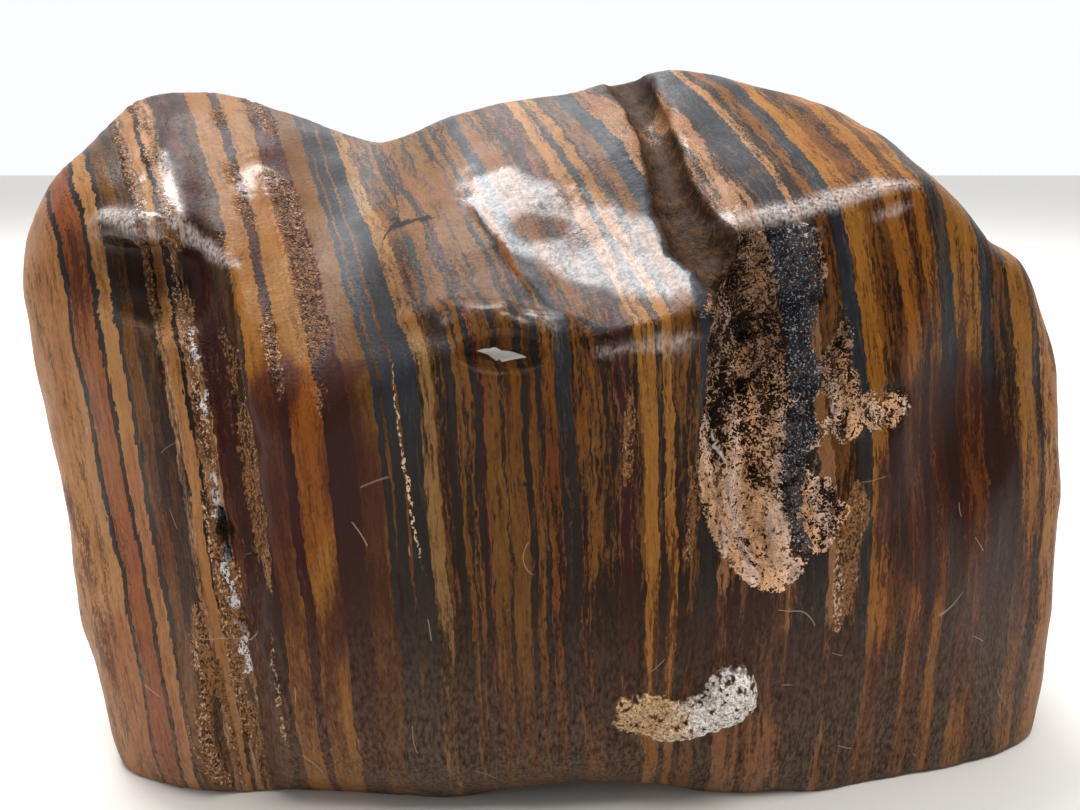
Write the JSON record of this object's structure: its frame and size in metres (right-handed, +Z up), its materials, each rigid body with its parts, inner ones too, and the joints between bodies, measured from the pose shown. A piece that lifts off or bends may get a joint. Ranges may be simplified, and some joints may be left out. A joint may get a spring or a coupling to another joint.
{
  "type": "banded iron formation specimen",
  "caption": "Water-worn, waxed block of banded iron formation standing on its base, with golden chert, dark hematite and red jasper layers running nearly upright through it.",
  "frame": {"origin": "middle of the flat base, under the centre of the stone's bounding box", "axes": "+X along the block's long side, across the layers; +Y from the face with the rough hollow to the back; +Z up"},
  "size_m": [0.1508, 0.089, 0.0956],
  "materials": {
    "ironstone": "waxed gloss over banded ochre, brown and near-black layers"
  },
  "bodies": {
    "root": {"ironstone": "ironstone"}
  },
  "joints": []
}
